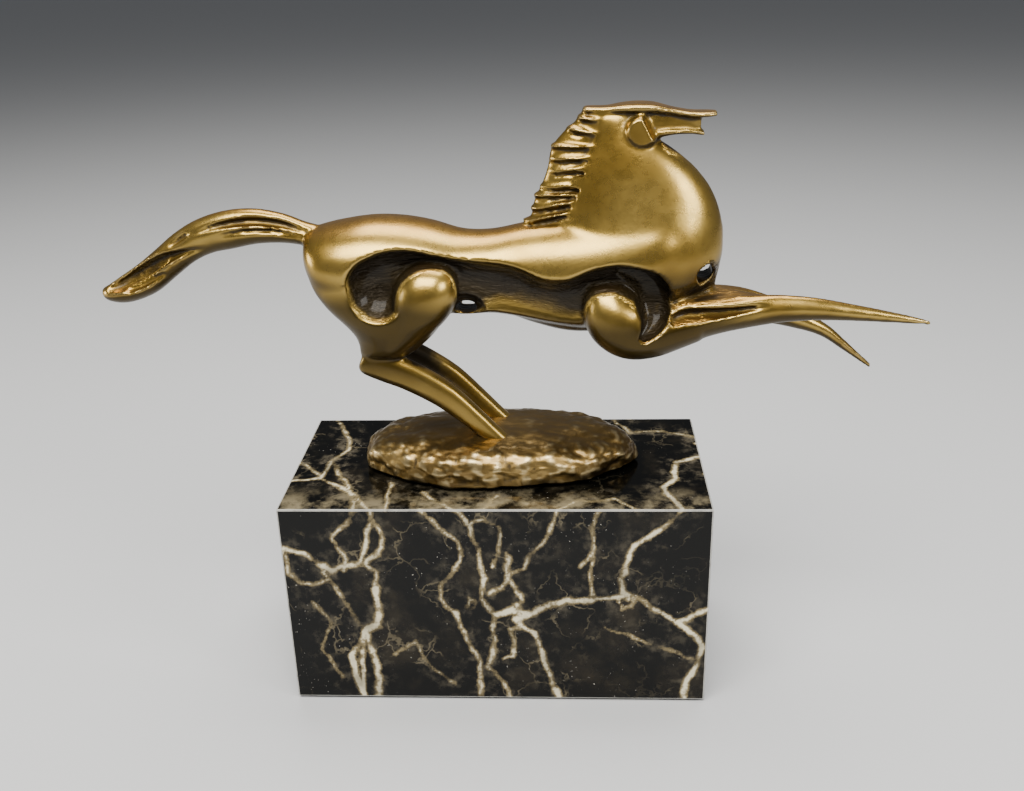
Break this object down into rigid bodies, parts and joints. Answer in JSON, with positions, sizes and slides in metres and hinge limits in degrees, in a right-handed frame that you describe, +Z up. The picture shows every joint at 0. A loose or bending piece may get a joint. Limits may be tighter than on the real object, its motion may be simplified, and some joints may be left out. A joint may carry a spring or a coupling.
{
  "type": "horse statue",
  "caption": "Stylised running horse cast in bronze sections on an oval rocky ground, bolted down on a polished veined black marble block with a felt underside.",
  "frame": {"origin": "middle of the felt underside, on the surface the statue stands on", "axes": "+X along the horse towards its head, +Z up, so -Y is the horse's right side"},
  "size_m": [0.2875, 0.075, 0.2104],
  "materials": {
    "felt": "matte",
    "marble": "polished",
    "fixings": "satin",
    "bronze": "satin",
    "ground_bronze": "satin"
  },
  "bodies": {
    "root": {"felt_sheet": "felt", "marble_base": "marble", "fixing_studs": "fixings", "stud_washers": "fixings", "stud_nuts": "fixings", "ground_casting": "ground_bronze", "hindquarters": "bronze", "forequarters": "bronze", "body_sleeve": "bronze", "head_casting": "bronze", "head_dowels": "bronze", "mane_casting": "ground_bronze", "mane_pins": "bronze", "tail_casting": "bronze", "tail_dowel": "bronze", "right_foreleg": "bronze", "left_foreleg": "bronze", "foreleg_dowels": "bronze", "right_hind_leg": "bronze", "left_hind_leg": "bronze", "hind_leg_dowels": "bronze", "hoof_pins": "bronze", "core_plugs": "bronze"}
  },
  "joints": []
}
